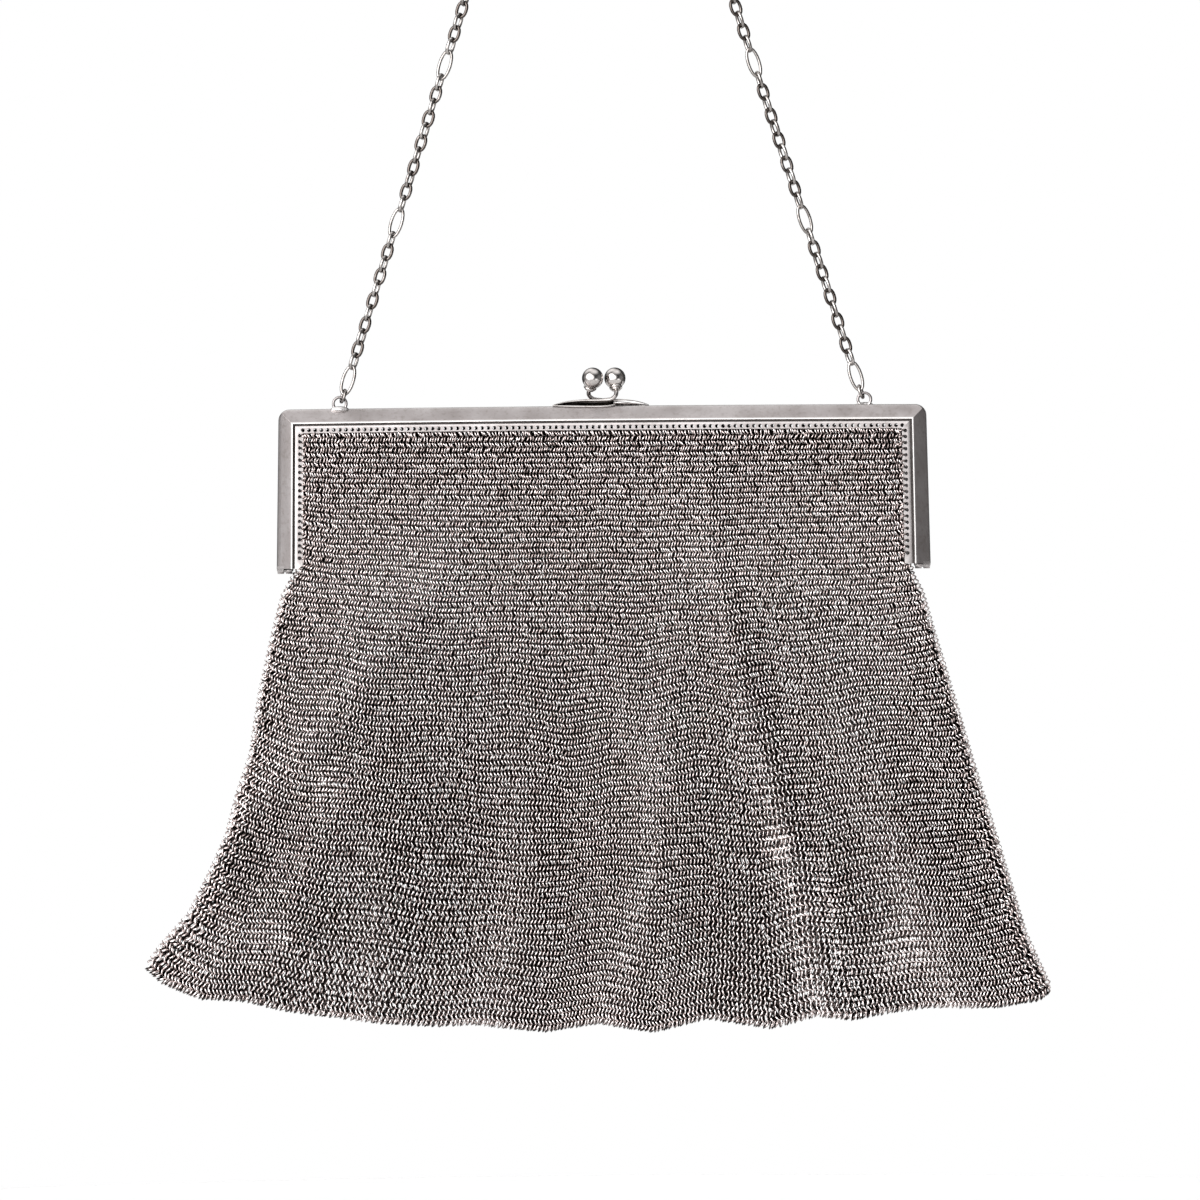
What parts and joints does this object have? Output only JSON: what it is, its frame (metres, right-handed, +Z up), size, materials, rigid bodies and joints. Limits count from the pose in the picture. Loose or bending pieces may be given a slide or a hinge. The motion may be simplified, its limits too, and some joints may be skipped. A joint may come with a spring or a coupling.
{
  "type": "metal mesh evening purse",
  "caption": "Flared ring-mesh purse on a square hinged metal frame with a kiss clasp of two balls, hanging by its link chain.",
  "frame": {"origin": "underside of the middle link of the chain, where a hook or finger carries the purse", "axes": "+Z up, +X to the right as the front is seen, front faces -Y"},
  "size_m": [0.2123, 0.0154, 0.3352],
  "materials": {
    "frame_silver": "worn nickel-silver sheet, softly polished",
    "clasp_silver": "bright polished nickel silver",
    "chain_silver": "worn nickel-silver wire",
    "ring_mesh": "fine interlinked nickel-silver rings, dulled with age"
  },
  "bodies": {
    "root": {"frame_front": "frame_silver", "frame_back": "frame_silver", "hinge_pin_left": "frame_silver", "hinge_pin_right": "frame_silver", "clasp_front": "clasp_silver", "clasp_back": "clasp_silver", "mesh_bag": "ring_mesh", "chain_jump_left": "chain_silver", "chain_jump_right": "chain_silver", "chain_top_link": "chain_silver", "chain_left_1": "chain_silver", "chain_left_2": "chain_silver", "chain_left_3": "chain_silver", "chain_left_4": "chain_silver", "chain_left_5": "chain_silver", "chain_right_1": "chain_silver", "chain_right_2": "chain_silver", "chain_right_3": "chain_silver", "chain_right_4": "chain_silver", "chain_right_5": "chain_silver"}
  },
  "joints": []
}
